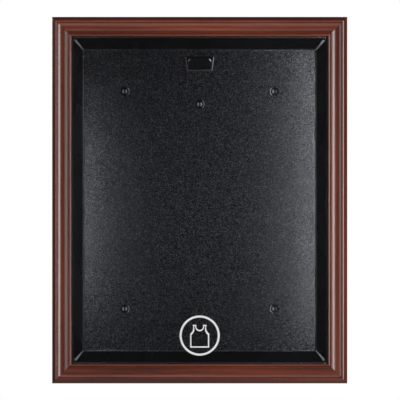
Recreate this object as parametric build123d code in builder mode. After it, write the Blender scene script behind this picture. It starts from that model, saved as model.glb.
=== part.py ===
from build123d import *
import os

os.makedirs("parts", exist_ok=True)

# Jersey display frame: a shallow moulded tray screwed to the wall, with a
# hinged hardwood door that holds a clear acrylic sheet.
# Millimetres. X to the right, Z up, the front faces -Y, the wall is the plane Y = 0.
# Origin: centre of the four-screw wall pattern, on the wall plane.
# Depths (names ending in _d, or d) are measured back from the front of the moulding.

# ---------------------------------------------------------------- door sizes
outer_w = 868.0          # door, over the wood
outer_h = 1078.0
depth = 89.0             # wall to the front of the moulding
rail_w = 58.0            # width of the moulding
door_t = 26.0            # thickness of the moulding
rabbet_w = 8.0           # rabbet for the acrylic sheet
rabbet_d = 14.0          # rabbet face

acrylic_t = 3.0
acrylic_clear = 0.5      # per edge, so the sheet can grow with heat
acrylic_r = 1.5
stop_t = 8.0             # glazing stop, depth
stop_chamfer = 2.0
door_gap = 2.0           # between the door and the tray

half_w = outer_w / 2
half_h = outer_h / 2
sight_x = half_w - rail_w        # inner edges of the moulding
sight_z = half_h - rail_w
rabbet_x = sight_x + rabbet_w
rabbet_z = sight_z + rabbet_w
stop_front_d = rabbet_d + acrylic_t
stop_back_d = stop_front_d + stop_t
stop_mid_d = (stop_front_d + stop_back_d) / 2

brad_x = (-330, -110, 110, 330)
brad_z = (-430, -215, 0, 215, 430)
brad_len = 16.0
brad_head_r = 1.2
brad_head_t = 0.8
brad_shank_r = 0.7

# V nail section: (distance from the point of the V, distance to one side)
v_nail_plan = [(0, 0), (5.2, 4.2), (5.9, 3.4), (1.3, 0), (5.9, -3.4), (5.2, -4.2)]
v_nail_insets = (14.0, 34.0)     # point of the V from the two outer edges
v_nail_len = 10.0

# ---------------------------------------------------------------- tray sizes
tray_inset = 17.0        # skirt, in from the edge of the door
tray_w = outer_w - 2 * tray_inset
tray_h = outer_h - 2 * tray_inset
tray_front = door_t + door_gap
flange_w = 44.0
flange_t = 3.0
mouth_w = tray_w - 2 * flange_w  # opening of the tray at the front
mouth_h = tray_h - 2 * flange_w
mouth_r = 10.0
mouth_fillet = 2.2
floor_w = 691.0
floor_h = 893.0
floor_r = 5.0
floor_fillet = 4.5
floor_front = 80.0       # depth of the tray floor
floor_t = 2.5
wall_t = 3.0
skirt_r = 12.0
floor_join = 0.5         # overlap of the basin with the flange, and of the ribs with the floor
flange_join_d = tray_front + 1   # gussets and pads end here, inside the flange
cut_over = 1.0           # cuts start or end this far outside the material

rib_t = 2.5
rib_x = (-285, -171, -57, 57, 171, 285)
rib_z = (-400, -250, -100, 0, 100, 200, 350)
gusset_len = 72.0
gusset_inset = 1.0       # outer end of a gusset, from the outside of the skirt
gusset_back_d = depth - 4
gusset_x = (-330, -200, -70, 70, 200, 330)
gusset_z = (-450, -350, -200, -50, 50, 200, 350, 450)

pattern_x = 445.0        # spacing of the four outer wall screws
pattern_z = 645.0
centre_hole_z = 284.5
wall_screw_points = [
    (x, z) for x in (-pattern_x / 2, pattern_x / 2) for z in (-pattern_z / 2, pattern_z / 2)
] + [(0, centre_hole_z)]
screw_hole_r = 2.75
screw_hole_len = 20.0
recess_r = 12.5
recess_deep = 6.0
recess_back_d = floor_front + recess_deep
hub_r = 7.6
hub_h = 3.4
hub_front_d = recess_back_d - hub_h
boss_r = 16.5

gate_mark = (-110, 428)
gate_mark_r = 2.0
gate_mark_deep = 1.0

flange_inset = 21.0      # catches and bumpers, in from the skirt
bumper_r = 5.0
bumper_clear = 0.2       # to the closed door
bumper_fillet = 0.8

# ---------------------------------------------------------------- hinge sizes
hinge_z = {"upper": 400.0, "middle": 0.0, "lower": -400.0}
hinge_len = 60.0
leaf_t = 1.6
leaf_corner_r = 1.2
door_leaf_reach = 23.0   # pin axis to the free edge of the leaf
case_leaf_reach = 25.0
tab_lap = 2.0            # knuckle tabs, overlap with the leaf
knuckle_r = 3.0
knuckle_n = 5
knuckle_gap = 0.4        # between knuckles, and from a barrel to a leaf
knuckle_step = hinge_len / knuckle_n
knuckle_sink = 0.8       # barrel set into the thickness of the leaves
pin_r = 1.5
pin_extra = 0.6          # shank of the pin, longer than the hinge
pin_head_r = 2.3
pin_head_t = 1.0
pin_head_offset = 0.8    # centre of the pin head, past the end of the hinge
bore_r = 1.55
bore_extra = 4.0
hinge_x = -(tray_w / 2 + leaf_t + knuckle_r - knuckle_sink)
hinge_d = door_t + leaf_t + knuckle_r - knuckle_sink
pad_w = 16.0             # solid pads behind the hinges
pad_h = 64.0
pad_back_d = hinge_d + 27

# ---------------------------------------------------------------- catch sizes
catch_x = tray_w / 2 - flange_inset
catch_z = {"upper": 250.0, "lower": -250.0}
catch_points = [(catch_x, z) for z in catch_z.values()]
strike_w = 14.0
strike_h = 32.0
strike_r = 3.0
strike_t = 1.2
magnet_r = 6.0
magnet_t = 4.0
magnet_chamfer = 0.3
magnet_front_d = door_t + strike_t + 0.2
magnet_back_d = magnet_front_d + magnet_t
cup_wall = 3.0           # round the magnet
cup_back_d = tray_front + flange_t + 3
cup_len = 4.0

# ---------------------------------------------------------------- rod cradle sizes
cradle_z0 = 383.5        # bottom
cradle_z1 = 426.0        # top, against the floor
cradle_deep = 26.0
cradle_wall = 3.0
cradle_in = 4.2          # from the edge of the foot to the pocket on it
foot_half_low = 38.0     # half widths of the foot
foot_half_high = 43.0
pocket_half_high = 41.4 - cradle_in
pocket_drop = 5.5        # top of the pocket below the top of the foot
hollow_half_low = 31.2
hollow_half_high = 36.0
hollow_over = 10.0       # the hollow is cut this far above the foot
pocket_top_r = 9.0
cradle_corner_r = 2.5
cradle_edge_r = 2.4
cradle_screw_z = 400.0
cradle_screw_points = [(x, cradle_screw_z) for x in (-22, 22)]
cradle_screw_d = 86.5    # heads sunk in bosses behind the tray
cradle_seat_r = 4.0
cradle_tray_boss_r = 6.5
cradle_boss_r = 4.0
cradle_boss_h = 5.0

# ---------------------------------------------------------------- emblem sizes
emblem_z = -398.0
emblem_r = 59.0
emblem_line = 6.0        # width of the ring
shirt_line = 3.8
key_line = 1.6           # black vinyl showing beyond the white
vinyl_t = 0.3

# ---------------------------------------------------------------- screw sizes
hinge_screw = dict(head_r=3.0, head_h=1.4, shank_r=1.6, length=12.0, tip=3.0)
strike_screw = dict(head_r=2.4, head_h=1.1, shank_r=1.3, length=10.0, tip=2.5)
cradle_screw = dict(head_r=3.0, head_h=1.6, shank_r=1.5, length=12.0, tip=2.5)
tip_r = 0.3
slot_ratio = 0.26        # width of a cross slot over its length

FROM_BASE = (Align.CENTER, Align.CENTER, Align.MIN)


# ================================================================= helpers
def save(name, builder):
    builder.part.label = name
    export_step(builder.part, f"parts/{name}.step")


def y_at(d):
    """Y of a depth measured back from the front of the moulding."""
    return d - depth


def face_plane(d):
    """Plane across the frame at a depth: local x = X, local y = Z, normal -Y (forwards)."""
    return Plane(origin=(0, y_at(d), 0), x_dir=(1, 0, 0), z_dir=(0, -1, 0))


def drive(x, d, z, direction, x_dir=(0, 0, 1)):
    """Plane at the top of a screw head, with its normal along the way the screw is driven."""
    return Plane(origin=(x, y_at(d), z), x_dir=x_dir, z_dir=direction)


def at(planes, offset=0):
    """Locations on the planes, moved along their normals."""
    return Locations(*[Location(plane.offset(offset)) for plane in planes])


def countersunk(planes, head_r, head_h, shank_r, length, tip, mode=Mode.ADD):
    """Countersunk screws, heads flush with the planes, driven along their normals."""
    with at(planes):
        Cone(head_r, shank_r, head_h, align=FROM_BASE, mode=mode)
    with at(planes, head_h):
        Cylinder(shank_r, length - head_h - tip, align=FROM_BASE, mode=mode)
    with at(planes, length - tip):
        Cone(shank_r, tip_r, tip, align=FROM_BASE, mode=mode)


def screw_set(name, planes, screw, slot_len, slot_deep):
    """Screws with cross recesses in their heads, saved as one piece."""
    with BuildPart() as screws:
        countersunk(planes, **screw)
        with at(planes):
            Box(slot_len, slot_len * slot_ratio, slot_deep, align=FROM_BASE, mode=Mode.SUBTRACT)
            Box(slot_len * slot_ratio, slot_len, slot_deep, align=FROM_BASE, mode=Mode.SUBTRACT)
    save(name, screws)


def brads(planes, mode=Mode.ADD):
    """Headed brads, heads flush with the planes."""
    with at(planes):
        Cylinder(brad_head_r, brad_head_t, align=FROM_BASE, mode=mode)
    with at(planes, brad_head_t):
        Cylinder(brad_shank_r, brad_len - brad_head_t, align=FROM_BASE, mode=mode)


# ---------------------------------------------------------------- fastener places
def rail_brads(side):
    """Brad places along the top (side = 1) or bottom (-1) rail."""
    return [drive(x, stop_mid_d, side * sight_z, (0, 0, side), (1, 0, 0)) for x in brad_x]


def stile_brads(side):
    """Brad places along the right (side = 1) or left (-1) stile."""
    return [drive(side * sight_x, stop_mid_d, z, (side, 0, 0)) for z in brad_z]


hinge_door_screw_places = [
    drive(hinge_x + 14.0, door_t + leaf_t, z + dz, (0, -1, 0))
    for z in hinge_z.values() for dz in (-20, 20)
]
hinge_case_screw_places = [
    drive(-(tray_w / 2 + leaf_t), hinge_d + 16.0, z + dz, (1, 0, 0))
    for z in hinge_z.values() for dz in (-20, 20)
]
strike_screw_places = [
    drive(catch_x, door_t + strike_t, z + dz, (0, -1, 0))
    for z in catch_z.values() for dz in (-11, 11)
]
cradle_screw_places = [drive(x, cradle_screw_d, z, (0, -1, 0)) for x, z in cradle_screw_points]


# ================================================================= door
def v_nail_points(side_x, side_z, inset):
    """V nail lying across a mitre; the point of the V looks at the outer corner."""
    k = 2 ** -0.5
    return [
        (side_x * (half_w - inset - k * (a - b)), side_z * (half_h - inset - k * (a + b)))
        for a, b in v_nail_plan
    ]


def corner_v_nails():
    """Two V nails in each mitre, driven in from the back of the door."""
    with BuildPart() as nails:
        for side_x in (-1, 1):
            for side_z in (-1, 1):
                for inset in v_nail_insets:
                    with BuildSketch(face_plane(door_t)):
                        with BuildLine():
                            Polyline(*v_nail_points(side_x, side_z, inset), close=True)
                        make_face()
                    extrude(amount=v_nail_len)
    save("corner_v_nails", nails)
    return nails.part


def moulding_outline(place):
    """Section of the moulding. place maps (from the outer edge, depth) to sketch axes."""
    rabbet_u = rail_w - rabbet_w
    # inner edge, rabbet, back and outer edge
    Polyline(place(rail_w, 7.6), place(rail_w, rabbet_d), place(rabbet_u, rabbet_d),
             place(rabbet_u, door_t), place(1.2, door_t), place(0, door_t - 1.2), place(0, 18.6))
    # outer slope and its rounded crest
    Line(place(0, 18.6), place(8.42, 4.1))
    ThreePointArc(place(8.42, 4.1), place(11.4, 1.09), place(15.4, 0.02))
    ThreePointArc(place(15.4, 0.02), place(16.05, 0.2), place(16.4, 0.8))
    # step down into the wide cove
    Line(place(16.4, 0.8), place(17.9, 3.2))
    ThreePointArc(place(17.9, 3.2), place(33.0, 8.3), place(47.4, 2.6))
    ThreePointArc(place(47.4, 2.6), place(47.95, 2.45), place(48.4, 2.9))
    # groove and bead at the inner edge
    Line(place(48.4, 2.9), place(49.0, 5.4))
    ThreePointArc(place(49.0, 5.4), place(49.6, 5.9), place(50.3, 5.2))
    ThreePointArc(place(50.3, 5.2), place(53.7, 3.0), place(57.0, 5.2))
    Line(place(57.0, 5.2), place(rail_w, 7.6))


def door_rail(name, side, nails):
    """Top (side = 1) or bottom (-1) rail, mitred at both ends."""
    with BuildPart() as rail:
        with BuildSketch(Plane.YZ):
            with BuildLine():
                moulding_outline(lambda u, d: (y_at(d), side * (half_h - u)))
            make_face()
        extrude(amount=half_w, both=True)
        for end in (-1, 1):
            mitre = Plane(origin=(end * half_w, 0, side * half_h), z_dir=(-end, 0, side))
            split(bisect_by=mitre, keep=Keep.TOP)
        add(nails, mode=Mode.SUBTRACT)
        brads(rail_brads(side), Mode.SUBTRACT)
    save(name, rail)


def door_stile(name, side, nails, screw_places, screw):
    """Right (side = 1) or left (-1) stile, mitred at both ends."""
    with BuildPart() as stile:
        with BuildSketch(Plane.XY):
            with BuildLine():
                moulding_outline(lambda u, d: (side * (half_w - u), y_at(d)))
            make_face()
        extrude(amount=half_h, both=True)
        for end in (1, -1):
            mitre = Plane(origin=(side * half_w, 0, end * half_h), z_dir=(side, 0, -end))
            split(bisect_by=mitre, keep=Keep.TOP)
        add(nails, mode=Mode.SUBTRACT)
        brads(stile_brads(side), Mode.SUBTRACT)
        countersunk(screw_places, **screw, mode=Mode.SUBTRACT)
    save(name, stile)


v_nails = corner_v_nails()
door_rail("door_rail_top", 1, v_nails)
door_rail("door_rail_bottom", -1, v_nails)
door_stile("door_stile_left", -1, v_nails, hinge_door_screw_places, hinge_screw)
door_stile("door_stile_right", 1, v_nails, strike_screw_places, strike_screw)


def acrylic_panel():
    with BuildPart() as panel:
        with BuildSketch(face_plane(stop_front_d)):
            RectangleRounded(
                2 * (rabbet_x - acrylic_clear), 2 * (rabbet_z - acrylic_clear), acrylic_r)
        extrude(amount=acrylic_t)
    save("acrylic_panel", panel)


def shirt_outline(grow):
    """Plain sleeveless shirt, centred on the emblem; grow moves the whole outline outwards."""
    centre = emblem_z - 1.5
    top = centre + 33 + grow
    base = centre - 34 - grow
    neck_x = 9 - grow
    neck_z = centre + 18 + grow
    shoulder_x = 21 + grow
    armhole = (20.2 + grow, centre + 17 + 0.5 * grow)
    side_x = 28 + grow
    armpit_z = centre + 7 + grow
    ThreePointArc((-neck_x, top), (0, neck_z), (neck_x, top))
    Line((neck_x, top), (shoulder_x, top))
    ThreePointArc((shoulder_x, top), armhole, (side_x, armpit_z))
    Polyline((side_x, armpit_z), (side_x, base), (-side_x, base), (-side_x, armpit_z))
    ThreePointArc((-side_x, armpit_z), (-armhole[0], armhole[1]), (-shoulder_x, top))
    Line((-shoulder_x, top), (-neck_x, top))


def emblem_vinyl(name, back_d, grow):
    """A ring round a plain shirt; grow widens every line on both sides."""
    with BuildPart() as vinyl:
        with BuildSketch(face_plane(back_d)):
            with Locations((0, emblem_z)):
                Circle(emblem_r + grow)
                Circle(emblem_r - emblem_line - grow, mode=Mode.SUBTRACT)
            with BuildLine():
                shirt_outline(grow)
            make_face()
            with BuildLine():
                shirt_outline(-shirt_line - grow)
            make_face(mode=Mode.SUBTRACT)
        extrude(amount=vinyl_t)
    save(name, vinyl)


acrylic_panel()
# White vinyl on a slightly wider black vinyl, on the front of the acrylic
emblem_vinyl("emblem_vinyl_black", rabbet_d, key_line)
emblem_vinyl("emblem_vinyl_white", rabbet_d - vinyl_t, 0)


# Glazing stops: square strips pinned into the rabbet behind the acrylic sheet,
# chamfered along the inner back edge
def glazing_stop_across(name, side):
    """Top (side = 1) or bottom (-1) stop."""
    inner = 0 if side > 0 else -1
    with BuildPart() as stop:
        with BuildSketch(face_plane(stop_back_d)):
            with Locations((0, side * (rabbet_z - rabbet_w / 2))):
                Rectangle(2 * rabbet_x, rabbet_w)
        extrude(amount=stop_t)
        inner_edges = stop.edges().filter_by(Axis.X).group_by(Axis.Z)[inner]
        chamfer(inner_edges.sort_by(Axis.Y)[-1], stop_chamfer)
        brads(rail_brads(side), Mode.SUBTRACT)
    save(name, stop)


def glazing_stop_upright(name, side):
    """Right (side = 1) or left (-1) stop, between the other two."""
    inner = 0 if side > 0 else -1
    with BuildPart() as stop:
        with BuildSketch(face_plane(stop_back_d)):
            with Locations((side * (rabbet_x - rabbet_w / 2), 0)):
                Rectangle(rabbet_w, 2 * sight_z)
        extrude(amount=stop_t)
        inner_edges = stop.edges().filter_by(Axis.Z).group_by(Axis.X)[inner]
        chamfer(inner_edges.sort_by(Axis.Y)[-1], stop_chamfer)
        brads(stile_brads(side), Mode.SUBTRACT)
    save(name, stop)


def glazing_stop_brads():
    with BuildPart() as pins:
        brads(rail_brads(1) + rail_brads(-1) + stile_brads(-1) + stile_brads(1))
    save("glazing_stop_brads", pins)


glazing_stop_across("glazing_stop_top", 1)
glazing_stop_across("glazing_stop_bottom", -1)
glazing_stop_upright("glazing_stop_left", -1)
glazing_stop_upright("glazing_stop_right", 1)
glazing_stop_brads()


# ================================================================= hinges
def hinge_leaf(name, plate, z, spans, screw_places):
    """Leaf from its flat plate, with knuckles centred at the spans, bored and countersunk."""
    with BuildPart() as leaf:
        extrude(plate, amount=leaf_t)
        with Locations(*[(hinge_x, y_at(hinge_d), z + s) for s in spans]):
            Cylinder(knuckle_r, knuckle_step - knuckle_gap)
        with Locations((hinge_x, y_at(hinge_d), z)):
            Cylinder(bore_r, hinge_len + bore_extra, mode=Mode.SUBTRACT)
        countersunk(screw_places, **hinge_screw, mode=Mode.SUBTRACT)
    save(name, leaf)


def knuckle_spans(first):
    """Centres of every other knuckle, counted from the bottom."""
    return [-hinge_len / 2 + knuckle_step * (i + 0.5) for i in range(first, knuckle_n, 2)]


def door_leaf(name, z):
    """Leaf screwed to the back of the door, with the second and fourth knuckles."""
    x_in = hinge_x + knuckle_r + knuckle_gap
    x_end = hinge_x + door_leaf_reach
    spans = knuckle_spans(1)
    with BuildSketch(face_plane(door_t + leaf_t)) as plate:
        with Locations(((x_in + x_end) / 2, z)):
            RectangleRounded(x_end - x_in, hinge_len - knuckle_gap, leaf_corner_r)
        with Locations(*[((hinge_x + x_in + tab_lap) / 2, z + s) for s in spans]):
            Rectangle(x_in + tab_lap - hinge_x, knuckle_step - knuckle_gap)
    hinge_leaf(name, plate.sketch, z, spans, hinge_door_screw_places)


def case_leaf(name, z):
    """Leaf screwed to the side of the tray, with the first, third and fifth knuckles."""
    outer_face = Plane(origin=(-(tray_w / 2 + leaf_t), 0, 0), x_dir=(0, 1, 0), z_dir=(1, 0, 0))
    d_in = hinge_d + knuckle_r + knuckle_gap
    d_end = hinge_d + case_leaf_reach
    spans = knuckle_spans(0)
    with BuildSketch(outer_face) as plate:
        with Locations((y_at((d_in + d_end) / 2), z)):
            RectangleRounded(d_end - d_in, hinge_len - knuckle_gap, leaf_corner_r)
        with Locations(*[(y_at((hinge_d + d_in + tab_lap) / 2), z + s) for s in spans]):
            Rectangle(d_in + tab_lap - hinge_d, knuckle_step - knuckle_gap)
    hinge_leaf(name, plate.sketch, z, spans, hinge_case_screw_places)


def hinge_pin(name, z):
    """Pin through all five knuckles, with a head at each end."""
    with BuildPart() as pin:
        with Locations((hinge_x, y_at(hinge_d), z)):
            Cylinder(pin_r, hinge_len + pin_extra)
        head_z = hinge_len / 2 + pin_head_offset
        with Locations(*[(hinge_x, y_at(hinge_d), z + s * head_z) for s in (-1, 1)]):
            Cylinder(pin_head_r, pin_head_t)
    save(name, pin)


for level, z in hinge_z.items():
    door_leaf(f"hinge_door_leaf_{level}", z)
    case_leaf(f"hinge_case_leaf_{level}", z)
    hinge_pin(f"hinge_pin_{level}", z)
screw_set("hinge_door_screws", hinge_door_screw_places, hinge_screw, slot_len=3.2, slot_deep=1.0)
screw_set("hinge_case_screws", hinge_case_screw_places, hinge_screw, slot_len=3.2, slot_deep=1.0)


# ================================================================= magnetic catches
def strike_plate(name, z):
    """Plate on the back of the door."""
    with BuildPart() as strike:
        with BuildSketch(face_plane(door_t + strike_t)):
            with Locations((catch_x, z)):
                RectangleRounded(strike_w, strike_h, strike_r)
        extrude(amount=strike_t)
        countersunk(strike_screw_places, **strike_screw, mode=Mode.SUBTRACT)
    save(name, strike)


def catch_magnet(name, z):
    """Disc magnet in the flange of the tray."""
    with BuildPart() as magnet:
        with BuildSketch(face_plane(magnet_back_d)):
            with Locations((catch_x, z)):
                Circle(magnet_r)
        extrude(amount=magnet_t)
        chamfer(magnet.edges(), magnet_chamfer)
    save(name, magnet)


for level, z in catch_z.items():
    strike_plate(f"strike_plate_{level}", z)
    catch_magnet(f"catch_magnet_{level}", z)
screw_set("strike_plate_screws", strike_screw_places, strike_screw, slot_len=2.6, slot_deep=0.8)


# ================================================================= tray
def tray_hollow():
    """Hollow in the tray: sloping walls, rounded corners, a fillet round the floor."""
    with BuildPart() as hollow:
        with BuildSketch(face_plane(tray_front)):
            RectangleRounded(mouth_w, mouth_h, mouth_r)
        with BuildSketch(face_plane(floor_front)):
            RectangleRounded(floor_w, floor_h, floor_r)
        loft(ruled=True)
        fillet(hollow.faces().sort_by(Axis.Y)[-1].edges(), floor_fillet)
    return hollow.part


def ring(builder, radius, d):
    """Circular edges of a radius whose centres lie at a depth."""
    return builder.edges().filter_by(GeomType.CIRCLE).filter_by(
        lambda e: abs(e.radius - radius) < 0.01 and abs(e.center().Y - y_at(d)) < 0.01)


def backing_tray():
    hollow = tray_hollow()
    gusset_side_x = tray_w / 2 - gusset_inset - gusset_len / 2
    gusset_end_z = tray_h / 2 - gusset_inset - gusset_len / 2
    with BuildPart() as tray:
        # flange
        with BuildSketch(face_plane(tray_front + flange_t)):
            RectangleRounded(tray_w, tray_h, skirt_r)
        extrude(amount=flange_t)
        # skirt, down to the wall
        with BuildSketch(face_plane(depth)):
            RectangleRounded(tray_w, tray_h, skirt_r)
            RectangleRounded(tray_w - 2 * wall_t, tray_h - 2 * wall_t, skirt_r - wall_t,
                             mode=Mode.SUBTRACT)
        extrude(amount=depth - tray_front)
        # outside of the basin
        with BuildSketch(face_plane(tray_front + floor_join)):
            RectangleRounded(mouth_w + 2 * wall_t, mouth_h + 2 * wall_t, mouth_r + wall_t)
        with BuildSketch(face_plane(floor_front + floor_t)):
            RectangleRounded(floor_w + 2 * wall_t, floor_h + 2 * wall_t, floor_r + wall_t)
        loft(ruled=True)
        # ribs behind the floor
        with BuildSketch(face_plane(depth)):
            with Locations(*[(x, 0) for x in rib_x]):
                Rectangle(rib_t, floor_h)
            with Locations(*[(0, z) for z in rib_z]):
                Rectangle(floor_w, rib_t)
        extrude(amount=depth - floor_front - floor_join)
        # gussets between the basin and the skirt
        with BuildSketch(face_plane(gusset_back_d)):
            with Locations(*[(s * gusset_side_x, z) for s in (-1, 1) for z in gusset_z]):
                Rectangle(gusset_len, rib_t)
            with Locations(*[(x, s * gusset_end_z) for s in (-1, 1) for x in gusset_x]):
                Rectangle(rib_t, gusset_len)
        extrude(amount=gusset_back_d - flange_join_d)
        # solid pads inside the skirt for the hinge screws
        with BuildSketch(face_plane(pad_back_d)):
            with Locations(*[(-(tray_w / 2 - pad_w / 2), z) for z in hinge_z.values()]):
                Rectangle(pad_w, pad_h)
        extrude(amount=pad_back_d - flange_join_d)
        # bosses round the wall screws and the cradle screws
        with BuildSketch(face_plane(depth)):
            with Locations(*wall_screw_points):
                Circle(boss_r)
            with Locations(*cradle_screw_points):
                Circle(cradle_tray_boss_r)
        extrude(amount=depth - floor_front - floor_join)
        # cups behind the flange for the magnets
        with BuildSketch(face_plane(cup_back_d)):
            with Locations(*catch_points):
                Circle(magnet_r + cup_wall)
        extrude(amount=cup_len)
        add(hollow, mode=Mode.SUBTRACT)
        # rounded edge of the mouth
        front_faces = tray.faces().filter_by(Plane.XZ).group_by(Axis.Y)[0]
        fillet(front_faces.sort_by(SortBy.AREA)[-1].inner_wires()[0].edges(), mouth_fillet)
        # wall screw recesses with a raised hub round each hole
        with BuildSketch(face_plane(recess_back_d)):
            with Locations(*wall_screw_points):
                Circle(recess_r)
                Circle(hub_r, mode=Mode.SUBTRACT)
        extrude(amount=recess_deep + cut_over, mode=Mode.SUBTRACT)
        with BuildSketch(face_plane(hub_front_d)):
            with Locations(*wall_screw_points):
                Circle(hub_r + cut_over)
        extrude(amount=recess_deep - hub_h + cut_over, mode=Mode.SUBTRACT)
        with BuildSketch(face_plane(depth + cut_over)):
            with Locations(*wall_screw_points):
                Circle(screw_hole_r)
        extrude(amount=screw_hole_len, mode=Mode.SUBTRACT)
        # rounded hub and recess edges
        fillet(ring(tray, hub_r, hub_front_d), 3.1)
        fillet(ring(tray, screw_hole_r, hub_front_d), 1.1)
        fillet(ring(tray, recess_r, floor_front), 1.2)
        fillet(ring(tray, recess_r, recess_back_d), 2.2)
        # sunk seats for the cradle screws
        with BuildSketch(face_plane(depth + cut_over)):
            with Locations(*cradle_screw_points):
                Circle(cradle_seat_r)
        extrude(amount=depth + cut_over - cradle_screw_d, mode=Mode.SUBTRACT)
        # magnet pockets
        with BuildSketch(face_plane(magnet_back_d)):
            with Locations(*catch_points):
                Circle(magnet_r)
        extrude(amount=magnet_t, mode=Mode.SUBTRACT)
        # moulding gate mark in the floor
        with BuildSketch(face_plane(floor_front + gate_mark_deep)):
            with Locations(gate_mark):
                Circle(gate_mark_r)
        extrude(amount=gate_mark_deep + cut_over, mode=Mode.SUBTRACT)
        countersunk(hinge_case_screw_places, **hinge_screw, mode=Mode.SUBTRACT)
        countersunk(cradle_screw_places, **cradle_screw, mode=Mode.SUBTRACT)
    save("backing_tray", tray)


backing_tray()


# ================================================================= rod cradle
def trapezoid(half_low, z_low, half_high, z_high):
    """Outline symmetric about X = 0, from its half widths at two heights."""
    Polyline((-half_low, z_low), (half_low, z_low), (half_high, z_high), (-half_high, z_high),
             close=True)


def rod_cradle():
    pocket_z0 = cradle_z0 + cradle_in
    pocket_front_len = cradle_deep - cradle_wall
    with BuildPart() as cradle:
        # foot on the floor of the tray, a little wider at the top
        with BuildSketch(face_plane(floor_front)):
            with BuildLine():
                trapezoid(foot_half_low, cradle_z0, foot_half_high, cradle_z1)
            make_face()
        extrude(amount=cradle_wall)
        fillet(cradle.edges().filter_by(Axis.Y), cradle_corner_r)
        fillet(cradle.faces().sort_by(Axis.Y)[0].edges(), cradle_edge_r)
        # block of the pocket, top corners rounded more than the bottom ones
        with BuildSketch(face_plane(floor_front - cradle_wall)):
            with BuildLine():
                trapezoid(foot_half_low - cradle_in, pocket_z0,
                          pocket_half_high, cradle_z1 - pocket_drop)
            make_face()
        extrude(amount=pocket_front_len)
        # the edges are picked afresh, as the first fillet changes the solid
        for level, radius in ((-1, pocket_top_r), (0, cradle_corner_r)):
            pocket_edges = cradle.edges().filter_by(Axis.Y).filter_by(
                lambda e: abs(e.length - pocket_front_len) < 0.1)
            fillet(pocket_edges.group_by(Axis.Z)[level], radius)
        fillet(cradle.faces().sort_by(Axis.Y)[0].edges(), cradle_edge_r)
        # hollow, open at the top; leaves a front plate, two sides and a bottom
        with BuildSketch(face_plane(floor_front - cradle_wall)):
            with BuildLine():
                trapezoid(hollow_half_low, pocket_z0 + cradle_wall,
                          hollow_half_high, cradle_z1 + hollow_over)
            make_face()
        extrude(amount=cradle_deep - 2 * cradle_wall, mode=Mode.SUBTRACT)
        # bosses that take the screws
        with BuildSketch(face_plane(floor_front - cradle_wall)):
            with Locations(*cradle_screw_points):
                Circle(cradle_boss_r)
        extrude(amount=cradle_boss_h)
        countersunk(cradle_screw_places, **cradle_screw, mode=Mode.SUBTRACT)
    save("rod_cradle", cradle)


rod_cradle()
screw_set("rod_cradle_screws", cradle_screw_places, cradle_screw, slot_len=3.2, slot_deep=1.0)


def door_bumpers():
    """Soft bumpers stuck to the flange, just clear of the closed door."""
    with BuildPart() as bumpers:
        with BuildSketch(face_plane(tray_front)):
            with GridLocations(tray_w - 2 * flange_inset, tray_h - 2 * flange_inset, 2, 2):
                Circle(bumper_r)
        extrude(amount=door_gap - bumper_clear)
        fillet(bumpers.edges().group_by(Axis.Y)[0], bumper_fillet)
    save("door_bumpers", bumpers)


door_bumpers()
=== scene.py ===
"""A wall display case with a glazed wooden door, a black moulded tray and a rod cradle.

The case stands upright in the XZ plane, centred on x = 0 and z = 0. Its front faces -Y, +X is
to the right and +Z is up. The wall is at its back, close to y = 0. Four mitred mouldings replace
the plain CAD door members; the other CAD pieces keep their shape and are given materials.
Lengths are metres, except those of the door moulding, which are millimetres.
"""
import bmesh
import bpy
import math
import numpy as np
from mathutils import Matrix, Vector


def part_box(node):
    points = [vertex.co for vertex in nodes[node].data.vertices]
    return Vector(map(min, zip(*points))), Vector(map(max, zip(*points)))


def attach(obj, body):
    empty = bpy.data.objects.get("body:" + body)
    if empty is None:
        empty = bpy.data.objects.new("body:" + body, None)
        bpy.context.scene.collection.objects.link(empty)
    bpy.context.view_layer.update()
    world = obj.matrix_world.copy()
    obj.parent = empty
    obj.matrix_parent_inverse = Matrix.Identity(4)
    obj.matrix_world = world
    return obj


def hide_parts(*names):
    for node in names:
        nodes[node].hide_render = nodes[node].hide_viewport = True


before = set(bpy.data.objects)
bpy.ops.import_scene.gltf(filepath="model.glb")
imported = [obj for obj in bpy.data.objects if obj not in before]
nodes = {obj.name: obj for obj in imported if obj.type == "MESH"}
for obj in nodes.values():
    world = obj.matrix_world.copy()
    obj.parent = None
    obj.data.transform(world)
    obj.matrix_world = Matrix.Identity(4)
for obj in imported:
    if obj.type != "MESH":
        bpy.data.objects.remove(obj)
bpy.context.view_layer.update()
scene = bpy.context.scene

# ------------------------------------------------------------------ sizes
MM = 0.001

# door, in millimetres
DOOR_T = 26.0                                    # thickness
HALF_W = (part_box("door_stile_right")[1].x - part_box("door_stile_left")[0].x) / 2 / MM
HALF_H = (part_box("door_rail_top")[1].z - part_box("door_rail_bottom")[0].z) / 2 / MM
Y_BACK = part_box("door_rail_top")[1].y / MM
Y_FRONT = Y_BACK - DOOR_T                        # front-most line of the moulding

# tray, in metres; sizes are half width (x) and half height (z)
FLOOR_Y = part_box("rod_cradle")[1].y              # the cradle's back lies on the tray's floor
LIP_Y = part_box("backing_tray")[0].y              # the tray's flange is its front
TRAY_MOUTH = (0.373, 0.478)
TRAY_FLOOR = (0.3455, 0.4465)
CORNER_SCREW = (0.2225, 0.3225)                  # one in each quarter of the tray
TOP_SCREW_Z = 0.2845                             # the fifth, on the centre line

# cradle, in metres
CRADLE_LOW_Z = 0.3835                            # lower edge
CRADLE_LOW_HALF_W = 0.038                        # half width at that edge
CRADLE_FLARE = 0.1176                            # gain in half width per unit of height
POCKET_CORNER = (0.0312, 0.4140)                 # upper corners of the pocket, |x| and z


# ------------------------------------------------------------------ shader helpers
def srgb(*rgb):
    """Linear colour with full alpha, from 0-255 sRGB."""
    def linear(level):
        level /= 255.0
        return level / 12.92 if level <= 0.04045 else ((level + 0.055) / 1.055) ** 2.4
    return tuple(linear(level) for level in rgb) + (1.0,)


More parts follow.
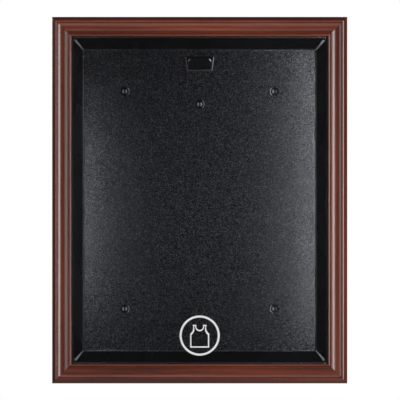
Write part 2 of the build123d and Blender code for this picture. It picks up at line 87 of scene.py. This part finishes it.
def operator(operation, swapped=False):
    """A method that adds one Math node."""
    def apply(self, *others):
        inputs = (self, *others)
        return self.kit.math(operation, *(inputs[::-1] if swapped else inputs))
    return apply


class Value:
    """An output socket that works in arithmetic."""
    __add__ = operator("ADD")
    __radd__ = operator("ADD", swapped=True)
    __sub__ = operator("SUBTRACT")
    __rsub__ = operator("SUBTRACT", swapped=True)
    __mul__ = operator("MULTIPLY")
    __truediv__ = operator("DIVIDE")
    __abs__ = operator("ABSOLUTE")
    __lt__ = operator("LESS_THAN")
    __gt__ = operator("GREATER_THAN")
    smaller = operator("MINIMUM")
    larger = operator("MAXIMUM")
    root = operator("SQRT")
    times_plus = operator("MULTIPLY_ADD")

    def __init__(self, kit, socket):
        self.kit = kit
        self.socket = socket

    def ease(self, over, to=(0.0, 1.0)):
        """Smooth step from to[0] to to[1] while the value crosses the range over."""
        inputs = {"Value": self, "From Min": over[0], "From Max": over[1],
                  "To Min": to[0], "To Max": to[1]}
        return self.kit.value("MapRange", "Result", inputs, interpolation_type="SMOOTHSTEP")


class Kit:
    """The node tree of a new material or world, with a short call for each kind of node."""

    def __init__(self, owner, output="OutputMaterial"):
        owner.use_nodes = True
        self.owner = owner
        self.tree = owner.node_tree
        self.tree.nodes.clear()
        self.output = self.node(output)

    def put(self, socket, value):
        """Links or sets an input; None leaves it alone."""
        if isinstance(value, Value):
            self.tree.links.new(value.socket, socket)
        elif value is not None:
            socket.default_value = value

    def node(self, kind, inputs=None, **props):
        node = self.tree.nodes.new("ShaderNode" + kind)
        for key, prop in props.items():
            setattr(node, key, prop)
        for key, value in (inputs or {}).items():
            self.put(node.inputs[key], value)
        return node

    def value(self, kind, output, inputs=None, **props):
        return Value(self, self.node(kind, inputs, **props).outputs[output])

    def math(self, operation, *inputs):
        return self.value("Math", 0, dict(enumerate(inputs)), operation=operation)

    def coord(self):
        return self.value("TexCoord", "Object")

    def mapped(self, vector, scale, offset=(0, 0, 0)):
        inputs = {"Vector": vector, "Scale": scale, "Location": offset}
        return self.value("Mapping", "Vector", inputs)

    def noise(self, vector, scale=1.0, detail=4.0, rough=0.55, distortion=0.0):
        inputs = {"Vector": vector, "Scale": scale, "Detail": detail, "Roughness": rough,
                  "Distortion": distortion}
        return self.value("TexNoise", "Fac", inputs)

    def cells(self, vector, scale):
        """Voronoi node, measuring to the nearest cell centre."""
        return self.node("TexVoronoi", {"Vector": vector, "Scale": scale}, feature="F1")

    def split(self, kind, value):
        """The three parts of a vector or colour."""
        node = self.node(kind, {0: value})
        return [Value(self, node.outputs[i]) for i in range(3)]

    def ramp(self, value, stops):
        node = self.node("ValToRGB", {"Fac": value})
        elements = node.color_ramp.elements
        while len(elements) > 1:
            elements.remove(elements[-1])
        elements[0].position, elements[0].color = stops[0]
        for position, color in stops[1:]:
            elements.new(position).color = color
        return Value(self, node.outputs["Color"])

    def mix(self, amount, base, over):
        inputs = {"Factor": amount, 6: base, 7: over}
        return self.value("Mix", 2, inputs, data_type="RGBA", clamp_factor=True)

    def layers(self, color, *layers):
        """Lays (amount, colour) pairs over a colour in turn."""
        for amount, over in layers:
            color = self.mix(amount, color, over)
        return color

    def bump(self, height, distance, strength):
        inputs = {"Height": height, "Distance": distance, "Strength": strength}
        return self.value("Bump", "Normal", inputs)

    def mix_shader(self, amount, base, over):
        return self.value("MixShader", 0, {0: amount, 1: base, 2: over})

    def surface(self, shader):
        self.put(self.output.inputs["Surface"], shader)

    def principled(self, color, rough, metallic=0.0, spec=0.5, coat=0.0, coat_rough=0.1,
                   normal=None, coat_normal=None, tint=None):
        shader = self.value("BsdfPrincipled", "BSDF", {
            "Base Color": color, "Roughness": rough, "Metallic": metallic, "IOR": 1.5,
            "Specular IOR Level": spec, "Specular Tint": tint,
            "Coat Weight": coat, "Coat Roughness": coat_rough,
            "Normal": normal, "Coat Normal": coat_normal})
        self.surface(shader)
        return shader


def material_kit(name):
    return Kit(bpy.data.materials.new(name))


def set_material(obj, material):
    obj.data.materials.clear()
    obj.data.materials.append(material)


# ------------------------------------------------------------------ materials
def wood(name, axis, seed, dark=1.0, coat=0.55):
    """Stained and lacquered hardwood with its grain along axis; dark scales the stain."""
    kit = material_kit(name)
    coord = kit.coord()
    offset = (seed * 0.37, seed * 0.83, seed * 1.31)

    def streaks(along, across, **settings):
        scale = [across] * 3
        scale[axis] = along
        return kit.noise(kit.mapped(coord, tuple(scale), offset), **settings)

    def stain(*rgb):
        return srgb(*(level * dark for level in rgb))

    broad = streaks(along=1.3, across=22, detail=3, rough=0.5, distortion=0.6)
    figure = streaks(along=3.2, across=95, detail=5, rough=0.6, distortion=0.8)
    fine = streaks(along=14, across=620, detail=4, rough=0.6, distortion=0.2)
    pore = streaks(along=60, across=2300, detail=2, rough=0.5).ease(over=(0.62, 0.72))
    color = kit.ramp(broad * 0.45 + figure * 0.4 + fine * 0.15, [
        (0.30, stain(62, 20, 8)),
        (0.44, stain(88, 32, 15)),
        (0.55, stain(108, 45, 25)),
        (0.70, stain(129, 61, 37)),
    ])
    # stain gathers in the grooves and at the mitres, and painted shade darkens the steep outer
    # side, the step and the sight edge; the high edges are rubbed lighter
    stain_and_shade = kit.value("Attribute", "Fac", attribute_name="stain_and_shade")
    wear_and_glint = kit.value("Attribute", "Fac", attribute_name="wear_and_glint")
    wear = wear_and_glint * kit.noise(coord, scale=60, detail=4, rough=0.6).ease(over=(0.42, 0.66))
    color = kit.layers(
        color,
        (pore * 0.55, stain(34, 11, 6)),
        (stain_and_shade * 0.85, srgb(22, 7, 4)),
        (wear * 0.35, srgb(142, 82, 56)))
    relief = fine * 0.35 - pore * 0.6
    peel = kit.noise(coord, scale=240, detail=2, rough=0.5)    # slight ripple of the lacquer
    kit.principled(
        color, rough=fine.ease(over=(0.3, 0.7), to=(0.30, 0.42)), spec=0.45,
        coat=coat, coat_rough=0.2,
        normal=kit.bump(relief, distance=0.00012, strength=0.55),
        coat_normal=kit.bump(peel + relief * 0.35, distance=0.00003, strength=0.3))
    return kit.owner


def tray_edges(x, z, rise):
    """Masks of the painted highlights down the wall corners, round the floor and along the front
    lip.

    rise is 0 at the floor and 1 at the front."""
    def from_wall(place, mouth, floor):
        return rise.times_plus(mouth - floor, floor) - abs(place)

    side_gap = from_wall(x, TRAY_MOUTH[0], TRAY_FLOOR[0])
    end_gap = from_wall(z, TRAY_MOUTH[1], TRAY_FLOOR[1])
    corner_gap = side_gap + end_gap
    hollow = side_gap.smaller(end_gap).ease(over=(-0.0016, -0.0008))   # 0 outside the tray
    radius = rise.times_plus(0.0029, 0.0029)     # of the corner, opening out to the front
    corner_highlight = (corner_gap / radius).ease(over=(1.05, 1.3), to=(1.0, 0.0))
    corner_highlight = corner_highlight * (rise.ease(over=(0.86, 0.93), to=(1.0, 0.0))
                       * rise.ease(over=(0.0, 0.5), to=(0.55, 1.0)))
    fillet_highlight = (rise.ease(over=(0.004, 0.012))
              * rise.ease(over=(0.045, 0.075), to=(1.0, 0.0)))
    lip_highlight = (rise.ease(over=(0.972, 0.985))
           * side_gap.smaller(end_gap).ease(over=(-0.0070, -0.0045)))
    return corner_highlight * hollow, fillet_highlight * hollow, lip_highlight


def tray_screws(x, y, z):
    """Masks of the five screw recesses: painted shade in the sunk part, a painted glint on the
    hub and a painted highlight on the ring round the mouth.
    """
    corner_x = abs(x) - CORNER_SCREW[0]
    corner_z = abs(z) - CORNER_SCREW[1]
    corner_dist = (corner_x * corner_x + corner_z * corner_z).root()
    top_z = z - TOP_SCREW_Z
    top_dist = (x * x + top_z * top_z).root()
    at_corner = corner_dist < top_dist
    radius = corner_dist.smaller(top_dist)
    # turn is 1 toward the middle of the tray; at the top screw it is 1 to the right
    across = at_corner * (corner_x * -1.0) + (1.0 - at_corner) * x
    turn = across / radius.larger(0.001)
    # painted shade in the sunk part of each recess
    recess_painted_shade = y.ease(over=(FLOOR_Y + 0.0003, FLOOR_Y + 0.0012)) * (radius < 0.0128)
    hub_painted_glint = (radius.ease(over=(0.0026, 0.0036))
           * radius.ease(over=(0.0070, 0.0080), to=(1.0, 0.0)))
    hub_painted_glint = hub_painted_glint * abs(turn).ease(over=(0.25, 0.85))
    # on the hubs by the right wall of the tray, the side turned to that wall gets a duller
    # painted glint
    hub_painted_glint = hub_painted_glint * (1.0 - (x > CORNER_SCREW[0]) * 0.75)
    # painted highlight on the side of each recess mouth turned to the middle of the tray
    ring = (radius.ease(over=(0.0118, 0.0126))
            * radius.ease(over=(0.0136, 0.0144), to=(1.0, 0.0)))
    return recess_painted_shade, hub_painted_glint, ring * turn.ease(over=(0.45, 0.85))


def tray_plastic(name):
    """Black moulded plastic: pebbled on the tray's floor, smooth satin on its walls, with
    painted highlights down the wall corners, round the floor and along the front lip, painted
    glints on the pebbles and screw hubs, and painted shade in the screw recesses."""
    kit = material_kit(name)
    coord = kit.coord()
    x, y, z = kit.split("SeparateXYZ", coord)
    on_floor = (abs(y - FLOOR_Y) < 0.0003) * (abs(x) < TRAY_FLOOR[0] - 0.0050)
    off_floor = 1.0 - on_floor
    rise = (FLOOR_Y - y) / (FLOOR_Y - LIP_Y)
    corner_highlight, fillet_highlight, lip_highlight = tray_edges(x, z, rise)
    recess_painted_shade, hub_painted_glint, ring = tray_screws(x, y, z)

    # pebbles: one rounded bump to each cell, every cell a little different
    cells = kit.cells(kit.mapped(coord, scale=(1, 0.2, 1)), scale=500)
    reach = Value(kit, cells.outputs["Distance"])
    vary_size, vary_tone, vary_rough = kit.split(
        "SeparateColor", Value(kit, cells.outputs["Color"]))
    small = kit.cells(
        kit.mapped(coord, scale=(1, 0.2, 1), offset=(0.31, 0.1, 0.7)), scale=900)
    dome = 1.0 - reach * reach * 1.5
    pebble = (dome * (0.6 + vary_size * 0.6)
              + Value(kit, small.outputs["Distance"]) * -0.25)
    satin = kit.noise(coord, scale=2400, detail=2, rough=0.5)
    drift = kit.noise(kit.mapped(coord, scale=(5, 5, 5)), detail=3, rough=0.5)
    height = pebble * on_floor + satin * (off_floor * 0.06)

    # away from the side bands of the floor, fewer pebbles carry painted glints, but those are
    # brighter
    sparse_glint_area = abs(x).ease(over=(0.12, 0.25), to=(1.0, 0.0)).larger(
        abs(z).ease(over=(0.27, 0.38)))
    wall = kit.mix(drift.ease(over=(0.3, 0.7)), srgb(10, 10, 12), srgb(15, 15, 17))
    dense_painted_glints = kit.mix(vary_tone.ease(over=(0.48, 1.0)), srgb(8, 8, 10), srgb(78, 78, 88))
    sparse_painted_glints = kit.mix(vary_tone.ease(over=(0.70, 1.0)), srgb(6, 6, 8), srgb(94, 94, 105))
    # pale pebble tops are painted glints, and the darkened gaps between pebbles are painted
    # shade
    grain = kit.layers(
        dense_painted_glints,
        (sparse_glint_area, sparse_painted_glints),
        (reach.ease(over=(0.34, 0.66), to=(0.0, 0.9)), srgb(3, 3, 4)))
    # the painted highlight round the floor is fainter at the right wall and at the top
    fillet_highlight = fillet_highlight * (x.ease(over=(0.33, 0.35), to=(1.0, 0.5))
                       * z.ease(over=(0.43, 0.447), to=(1.0, 0.35)))
    # painted highlights down the wall corners, round the floor and along the lip
    color = kit.layers(
        kit.mix(on_floor, wall, grain),
        (corner_highlight * 0.95, srgb(172, 172, 178)),
        (fillet_highlight * (0.1 + vary_size * 0.85), srgb(96, 96, 106)),
        # painted shade in the recesses, a painted glint on the hubs and a painted highlight on
        # the rings
        (recess_painted_shade, srgb(4, 4, 5)),
        (hub_painted_glint * recess_painted_shade, srgb(150, 150, 158)),
        (ring, srgb(158, 158, 166)),
        (lip_highlight * 0.8, srgb(58, 57, 58)))
    rough = (on_floor * vary_rough.ease(over=(0.0, 1.0), to=(0.24, 0.32))
             + off_floor * drift.ease(over=(0.3, 0.7), to=(0.24, 0.3)))
    spec = off_floor * 0.5 + on_floor * vary_tone.ease(over=(0.0, 1.0), to=(0.3, 0.85))
    kit.principled(
        color, rough, spec=spec * (1.0 - recess_painted_shade * 0.8), tint=(0.92, 0.92, 1.0, 1),
        normal=kit.bump(height, distance=0.00008, strength=1.0))
    return kit.owner


def cradle_plastic(name):
    """Smooth moulded black plastic with painted highlights on its thin edges and pocket corners,
    painted shade on its foot, and darker towards the bottom.
    """
    kit = material_kit(name)
    coord = kit.coord()
    x, y, z = kit.split("SeparateXYZ", coord)
    grit = kit.noise(coord, scale=1500, detail=3, rough=0.6)
    cloud = kit.noise(coord, scale=45, detail=3, rough=0.5)
    from_middle = abs(x)
    # distances in from the sloping flank and up from the lower edge
    side = (z - CRADLE_LOW_Z).times_plus(CRADLE_FLARE, CRADLE_LOW_HALF_W) - from_middle
    low = z - CRADLE_LOW_Z
    # foot: the layer next to the tray's floor, painted dark as the plate's shadow
    foot = (FLOOR_Y - y).ease(over=(0.0031, 0.0036), to=(1.0, 0.0))
    edge = foot * side.smaller(low).ease(over=(0.0022, 0.0034), to=(1.0, 0.0))
    patches = kit.noise(coord, scale=260, detail=3, rough=0.6)
    edge = edge * patches.ease(over=(0.34, 0.6), to=(0.35, 1.0))
    # painted highlight along the foot's edges, brightest on the right flank, which faces the
    # light
    flank = kit.mix(x > 0.0, srgb(128, 128, 134), srgb(146, 145, 150))
    flank = kit.mix(low < side, flank, srgb(112, 112, 118))

    # the two upper corners of the pocket: a slanting, slightly bowed painted glint, brighter on
    # the right
    corner_x = from_middle - POCKET_CORNER[0]
    corner_z = z - POCKET_CORNER[1]
    along = corner_x * 0.57 - corner_z * 0.82
    across = corner_x * 0.82 + corner_z * 0.57
    bow = across + along * along * 30.0
    wear_and_glint = (abs(along).ease(over=(0.0030, 0.0052), to=(1.0, 0.0))
            * abs(bow).ease(over=(0.0009, 0.0020), to=(1.0, 0.0)))
    glint_tone = kit.mix(x.ease(over=(-0.02, 0.02)), srgb(150, 150, 156), srgb(226, 226, 230))

    # painted shade: the plate darker towards the bottom and the foot dark under it
    color = kit.layers(
        kit.mix(z.ease(over=(0.386, 0.416)), srgb(3, 3, 4), srgb(15, 16, 18)),
        (cloud.ease(over=(0.35, 0.7), to=(0.0, 0.4)), srgb(13, 13, 16)),
        (foot, srgb(3, 3, 4)),
        (edge, flank),
        (wear_and_glint * (1.0 - foot), glint_tone))
    kit.principled(color, rough=grit.ease(over=(0.3, 0.7), to=(0.2, 0.27)),
                   normal=kit.bump(grit, distance=0.00004, strength=0.4))
    return kit.owner


def plain_plastic(name, color, rough, grain, depth):
    """One colour, a little lighter in patches; grain is its noise scale, depth its bump."""
    kit = material_kit(name)
    coord = kit.coord()
    grit = kit.noise(coord, scale=grain, detail=3, rough=0.6)
    cloud = kit.noise(coord, scale=35, detail=3, rough=0.5)
    lighter = tuple(min(1, level * 1.5 + 0.004) for level in color[:3]) + (1,)
    kit.principled(
        kit.mix(cloud.ease(over=(0.35, 0.7), to=(0.0, 0.35)), color, lighter),
        rough=grit.ease(over=(0.3, 0.7), to=(rough - 0.04, rough + 0.05)),
        normal=kit.bump(grit, distance=depth, strength=0.4))
    return kit.owner


def metal(name, color, rough, axis=2, tarnish=None, metallic=1.0):
    """Rolled or drawn metal with fine lines along axis and light tarnish."""
    kit = material_kit(name)
    coord = kit.coord()
    scale = [2600] * 3
    scale[axis] = 60
    lines = kit.noise(kit.mapped(coord, tuple(scale)), detail=3, rough=0.6)
    spots = kit.noise(coord, scale=260, detail=4, rough=0.6)
    tarnish = tarnish or tuple(level * 0.45 for level in color[:3]) + (1,)
    kit.principled(
        kit.mix(spots.ease(over=(0.5, 0.75), to=(0.0, 0.6)), color, tarnish),
        rough=(lines.ease(over=(0.3, 0.7), to=(rough - 0.07, rough + 0.09))
               + spots.ease(over=(0.5, 0.8), to=(0.0, 0.14))),
        metallic=metallic,
        normal=kit.bump(lines, distance=0.00003, strength=0.35))
    return kit.owner


def acrylic(name):
    """Clear sheet: see-through head on, mirroring more at a slant, with faint polish haze."""
    kit = material_kit(name)
    haze = kit.noise(kit.mapped(kit.coord(), scale=(6, 6, 6)), detail=4, rough=0.6)
    clear = kit.value("BsdfTransparent", 0, {"Color": (0.965, 0.972, 0.972, 1)})
    gloss = kit.value("BsdfGlossy", 0, {
        "Color": (1, 1, 1, 1),
        "Roughness": haze.ease(over=(0.3, 0.7), to=(0.015, 0.05))})
    fresnel = kit.value("Fresnel", 0, {"IOR": 1.49})
    kit.surface(kit.mix_shader(fresnel * 0.9, clear, gloss))
    return kit.owner


# ------------------------------------------------------------------ door moulding
def arc(start, middle, end, steps):
    """steps + 1 points on the circle through three points."""
    (x1, y1), (x2, y2), (x3, y3) = start, middle, end
    square1, square2, square3 = x1**2 + y1**2, x2**2 + y2**2, x3**2 + y3**2
    scale = 2 * (x1 * (y2 - y3) + x2 * (y3 - y1) + x3 * (y1 - y2))
    x = (square1 * (y2 - y3) + square2 * (y3 - y1) + square3 * (y1 - y2)) / scale
    y = (square1 * (x3 - x2) + square2 * (x1 - x3) + square3 * (x2 - x1)) / scale
    radius = math.hypot(x1 - x, y1 - y)
    first, via, last = (math.atan2(v - y, u - x) for u, v in (start, middle, end))
    sweep = (last - first) % (2 * math.pi)
    if (via - first) % (2 * math.pi) > sweep:
        sweep -= 2 * math.pi
    angles = [first + sweep * i / steps for i in range(steps + 1)]
    return [(x + radius * math.cos(a), y + radius * math.sin(a)) for a in angles]


def moulding_section():
    """Closed section, anticlockwise with depth taken as up.

    Columns: distance in from the outer edge, depth behind the front, stain with painted shade,
    worn."""
    back = DOOR_T - 0.05
    bevel_w, bevel_depth, bevel_fall = 8.42, 18.6, 14.5
    # runs of the section: points, stain and painted shade, worn
    # the stain value of the outer side, its slope, the step and the sight edge is painted shade
    runs = [
        (arc((1.2, back), (0.35, back - 0.35), (0, back - 1.2), 4), 0.0, 0.0),
        ([(0, back - 1.2), (0, 22), (0, bevel_depth)], 0.5, 0.0),
        ([(1.2 * i, bevel_depth - bevel_fall * 1.2 * i / bevel_w) for i in range(1, 7)],
         0.3, 0.0),
        (arc((bevel_w, 4.1), (11.4, 1.09), (15.4, 0.02), 18), 0.0, 0.0),
        (arc((15.4, 0.02), (16.05, 0.2), (16.4, 0.8), 6), 0.1, 0.6),
        ([(16.4, 0.8), (16.9, 1.6), (17.4, 2.4), (17.9, 3.2)], 0.6, 0.0),
        (arc((17.9, 3.2), (33.0, 8.3), (47.4, 2.6), 48), 0.0, 0.0),       # broad hollow
        (arc((47.4, 2.6), (47.95, 2.45), (48.4, 2.9), 5), 0.0, 0.8),
        ([(48.4, 2.9), (48.7, 4.15), (49.0, 5.4)], 0.0, 0.0),
        (arc((49.0, 5.4), (49.6, 5.9), (50.3, 5.2), 8), 0.15, 0.0),
        (arc((50.3, 5.2), (53.7, 3.0), (57.0, 5.2), 18), 0.0, 0.3),       # inner bead
        ([(57.0, 5.2), (57.6, 6.4), (58.0, 7.6), (58.0, 14.0)], 0.4, 0.0),
        # rebate and back
        ([(58.0, 14.0), (54, 14.0), (50.0, 14.0), (50.0, 20), (50.0, back), (40, back),
          (28, back), (14, back)], 0.0, 0.0),
    ]
    section = []
    for points, stain_and_shade, wear_and_glint in runs:
        for u, v in points:
            # a point shared by two runs is kept once
            if not section or math.hypot(section[-1][0] - u, section[-1][1] - v) > 1e-4:
                section.append((u, v, stain_and_shade, wear_and_glint))
    return np.array(section, float)


SECTION = moulding_section()

# stations at a mitre: distance back from it, shrink of the section, darkening
MITRE = [(0.0, 0.22, 1.0), (0.12, 0.1, 0.8), (0.4, 0.0, 0.25), (1.2, 0.0, 0.0)]
# stations of a member: fraction of its half length, then as above
STATIONS = ([(-1, *row) for row in MITRE]
            + [(s, 0.0, 0.0, 0.0) for s in np.linspace(-0.985, 0.985, 49)]
            + [(1, *row) for row in reversed(MITRE)])


def member_mesh(name, axis, side):
    """Sweeps the section along axis, with a mitre at each end."""
    half_len, half_across = (HALF_W, HALF_H) if axis == 0 else (HALF_H, HALF_W)
    outline, section_stain_and_shade, section_worn = SECTION[:, :2], SECTION[:, 2], SECTION[:, 3]
    tangent = np.roll(outline, -1, 0) - np.roll(outline, 1, 0)
    tangent /= np.linalg.norm(tangent, axis=1)[:, None]
    outward = np.stack([tangent[:, 1], -tangent[:, 0]], 1)
    verts, stain_and_shade, wear_and_glint = [], [], []
    for fraction, back, shrink, dark in STATIONS:
        points = outline - outward * shrink       # eases the edge at each mitre
        points[:, 0] = np.clip(points[:, 0], 0, None)
        along = fraction * (half_len - points[:, 0]) - math.copysign(back, fraction)
        across = side * (half_across - points[:, 0])
        depth = Y_FRONT + points[:, 1]
        columns = (along, depth, across) if axis == 0 else (across, depth, along)
        verts.extend((np.column_stack(columns) * MM).tolist())
        stain_and_shade.extend(np.maximum(section_stain_and_shade, dark))
        wear_and_glint.extend(section_worn * (1 - dark))
    count = len(outline)
    end = (len(STATIONS) - 1) * count
    faces = []
    for row in range(0, end, count):
        for i in range(count):
            j = (i + 1) % count
            faces.append((row + i, row + j, row + count + j, row + count + i))
    faces.append(tuple(range(count - 1, -1, -1)))
    faces.append(tuple(end + i for i in range(count)))
    mesh = bpy.data.meshes.new(name)
    mesh.from_pydata(verts, [], faces)
    mesh.update()
    bm = bmesh.new()
    bm.from_mesh(mesh)
    bmesh.ops.recalc_face_normals(bm, faces=bm.faces)
    bm.to_mesh(mesh)
    bm.free()
    # the first attribute holds stain at the mitres and painted shade on the steep faces of the
    # section
    for key, values in (("stain_and_shade", stain_and_shade), ("wear_and_glint", wear_and_glint)):
        attribute = mesh.attributes.new(key, "FLOAT", "POINT")
        attribute.data.foreach_set("value", np.array(values, np.float32))
    mesh.polygons.foreach_set("use_smooth", [True] * len(mesh.polygons))
    mesh.set_sharp_from_angle(angle=math.radians(32))
    return mesh


def member(name, axis, side, seed, node):
    """One mitred member. axis 0 is a rail along X, 2 a stile along Z; side is +1 or -1."""
    obj = bpy.data.objects.new(name, member_mesh(name, axis, side))
    scene.collection.objects.link(obj)
    set_material(obj, wood("wood_" + name, axis, seed))
    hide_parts(node)
    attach(obj, "door")
    return obj


top_rail = member("moulding_top", axis=0, side=1, seed=1.0, node="door_rail_top")
low_rail = member("moulding_bottom", axis=0, side=-1, seed=2.3, node="door_rail_bottom")
left_stile = member("moulding_left", axis=2, side=-1, seed=3.7, node="door_stile_left")
right_stile = member("moulding_right", axis=2, side=1, seed=5.1, node="door_stile_right")


# ------------------------------------------------------------------ finishes of the CAD pieces
def finish(material, *names):
    for name in names:
        set_material(nodes[name], material)


finish(tray_plastic("tray_pebble"), "backing_tray")
finish(cradle_plastic("cradle_satin"), "rod_cradle")
finish(acrylic("acrylic_clear"), "acrylic_panel")
finish(plain_plastic("vinyl_white", srgb(246, 246, 246), rough=0.45, grain=900, depth=0.00005),
       "emblem_vinyl_white")
finish(plain_plastic("vinyl_black", srgb(12, 12, 12), rough=0.5, grain=900, depth=0.00005),
       "emblem_vinyl_black")
finish(wood("wood_stop_x", axis=0, seed=7.0, dark=0.72, coat=0.1),
       "glazing_stop_top", "glazing_stop_bottom")
finish(wood("wood_stop_z", axis=2, seed=8.0, dark=0.72, coat=0.1),
       "glazing_stop_left", "glazing_stop_right")
brass = metal("hinge_brass_drawn", srgb(205, 172, 108), rough=0.3, tarnish=srgb(120, 88, 44))
steel = metal("steel_bright", srgb(176, 177, 180), rough=0.3)
finish(brass, "hinge_door_screws", "hinge_case_screws")
finish(steel, "corner_v_nails", "glazing_stop_brads")
for node_name in nodes:
    if node_name.startswith(("hinge_door_leaf", "hinge_case_leaf")):
        finish(brass, node_name)
    elif node_name.startswith(("hinge_pin", "strike_plate")):
        finish(steel, node_name)
finish(metal("magnet_nickel", srgb(190, 190, 192), rough=0.16, axis=1,
             tarnish=srgb(120, 112, 100)),
       "catch_magnet_upper", "catch_magnet_lower")
finish(metal("screw_black", srgb(36, 36, 38), rough=0.42, tarnish=srgb(80, 78, 76),
             metallic=0.7),
       "rod_cradle_screws")
finish(plain_plastic("bumper_soft", srgb(168, 168, 166), rough=0.6, grain=1200, depth=0.00008),
       "door_bumpers")

# ------------------------------------------------------------------ camera
VIEW_WIDTH = 1.1738                              # at the front of the moulding
CAMERA_DIST = 7.5                                # from the front of the moulding
SENSOR = 36                                      # millimetres

camera_data = bpy.data.cameras.new("camera")
camera = bpy.data.objects.new("camera", camera_data)
scene.collection.objects.link(camera)
camera.location = (0.0009, Y_FRONT * MM - CAMERA_DIST, 0.0005)
camera.rotation_euler = (math.radians(90), 0, 0)
camera_data.sensor_width = SENSOR
camera_data.lens = SENSOR * CAMERA_DIST / VIEW_WIDTH
camera_data.clip_end = 60
scene.camera = camera


# ------------------------------------------------------------------ lights
def area(name, at, target, size, power, only=(), skip=None):
    """Rectangular light. It falls on the objects in only, or on all but skip."""
    data = bpy.data.lights.new(name, "AREA")
    data.shape = "RECTANGLE"
    data.size, data.size_y = size
    data.energy = power
    light = bpy.data.objects.new(name, data)
    scene.collection.objects.link(light)
    light.location = at
    light.visible_camera = False
    light.rotation_euler = (Vector(target) - Vector(at)).to_track_quat("-Z", "Y").to_euler()
    group = bpy.data.collections.new(name + ("_off" if skip else "_on"))
    for obj in [skip] if skip else only:
        group.objects.link(obj)
    if skip:
        group.collection_objects[0].light_linking.link_state = "EXCLUDE"
    light.light_linking.receiver_collection = group


CENTRE = (0, 0, 0)
UPPER = (0, 0, 0.5)
LOWER = (0, 0, -0.5)
glass = nodes["acrylic_panel"]
tray = nodes["backing_tray"]
cradle = nodes["rod_cradle"]

area("softbox_right", at=(3.35, -2.85, 0.15), target=CENTRE, size=(2.2, 2.6), power=162,
     skip=glass)
area("softbox_left", at=(-3.1, -2.3, 0.0), target=CENTRE, size=(2.6, 2.6), power=51,
     skip=glass)
# narrow strips that only draw a slim reflection down the glazing when it is seen at a slant
for strip, x in (("strip_left", -3.3), ("strip_right", 3.3)):
    area(strip, at=(x, -2.1, 0.0), target=CENTRE, size=(0.35, 2.6), power=3.4, only=[glass])
# low light from behind, for the back of the tray and the case sides
behind = [obj for name, obj in nodes.items() if name != "acrylic_panel"]
behind += [top_rail, low_rail, left_stile, right_stile]
area("back_fill", at=(-1.6, 3.4, 1.5), target=CENTRE, size=(2.4, 1.6), power=70, only=behind)
# cards that light one rail each
area("card_top", at=(0.0, -1.25, 0.75), target=LOWER, size=(2.6, 0.9), power=8.5,
     only=[low_rail])
area("card_low", at=(0.0, -1.25, -0.55), target=UPPER, size=(2.6, 0.9), power=5.0,
     only=[top_rail])
area("card_over", at=(0.0, -1.25, 1.35), target=UPPER, size=(2.6, 0.6), power=4.2,
     only=[top_rail])
area("card_under", at=(0.0, -1.25, -1.35), target=LOWER, size=(2.6, 0.6), power=7.6,
     only=[low_rail])
area("wash_right", at=(0.50, -0.75, 0.05), target=(0.30, 0, -0.01), size=(0.10, 1.0),
     power=7.8, only=[tray])
area("wash_left", at=(-0.52, -0.75, -0.04), target=(-0.30, 0, -0.04), size=(0.10, 0.6),
     power=3.7, only=[tray])
for kick, x, power in (("kick_right", 1.0, 46), ("kick_left", -1.0, 20)):
    area(kick, at=(x, -0.9, 0.52), target=(0, 0, 0.4), size=(0.4, 0.4), power=power,
         only=[cradle])


# ------------------------------------------------------------------ world, floor and wall
def build_world():
    """White to the camera, and a faint cool fill to everything else."""
    scene.world = bpy.data.worlds.new("world")
    kit = Kit(scene.world, output="OutputWorld")
    to_camera = kit.value("LightPath", "Is Camera Ray")
    white = kit.value("Background", 0, {"Color": (1, 1, 1, 1), "Strength": 1.0})
    fill = kit.value("Background", 0, {"Color": (0.96, 0.97, 1, 1), "Strength": 0.05})
    kit.surface(kit.mix_shader(to_camera, fill, white))


def floor_material():
    """Pale floor that partly glows to the camera, to stay even."""
    kit = material_kit("floor_pale")
    matt = kit.principled(srgb(228, 228, 226), rough=0.6)
    glow = kit.value("Emission", 0, {"Color": srgb(226, 226, 225)})
    to_camera = kit.value("LightPath", "Is Camera Ray")
    kit.surface(kit.mix_shader(to_camera * 0.72, matt, glow))
    return kit.owner


def stage_face(name, points, material):
    """A single flat face that belongs to the setting."""
    mesh = bpy.data.meshes.new(name)
    mesh.from_pydata(points, [], [tuple(range(len(points)))])
    obj = bpy.data.objects.new(name, mesh)
    scene.collection.objects.link(obj)
    set_material(obj, material)


build_world()

FLOOR_Z = -0.92
FLOOR_OUTLINE = [(-3.2, -3.0), (3.2, -3.0), (3.2, 2.6), (-3.2, 2.6)]      # x, y
stage_face("floor", [(x, y, FLOOR_Z) for x, y in FLOOR_OUTLINE], floor_material())

# the wall that the case hangs on, seen through the five screw holes, as small discs in a dark
# grey that paints the wall's shade
SPOT_RADIUS = 0.006
SPOT_POINTS = 24
SPOT_Y = 0.0008
wall_kit = material_kit("wall_shadow")
wall_kit.principled(srgb(60, 60, 62), rough=0.8)
screws = [(i * CORNER_SCREW[0], j * CORNER_SCREW[1]) for i in (-1, 1) for j in (-1, 1)]
for i, (x, z) in enumerate(screws + [(0.0, TOP_SCREW_Z)]):
    angles = [math.tau * t / SPOT_POINTS for t in range(SPOT_POINTS)]
    ring = [(x + SPOT_RADIUS * math.cos(a), SPOT_Y, z + SPOT_RADIUS * math.sin(a))
            for a in angles]
    stage_face("wall_spot_%d" % i, ring, wall_kit.owner)

# ------------------------------------------------------------------ render settings and colour view
scene.view_settings.view_transform = "Standard"
scene.view_settings.look = "None"
scene.cycles.use_denoising = True
scene.cycles.max_bounces = 10
scene.cycles.transparent_max_bounces = 16
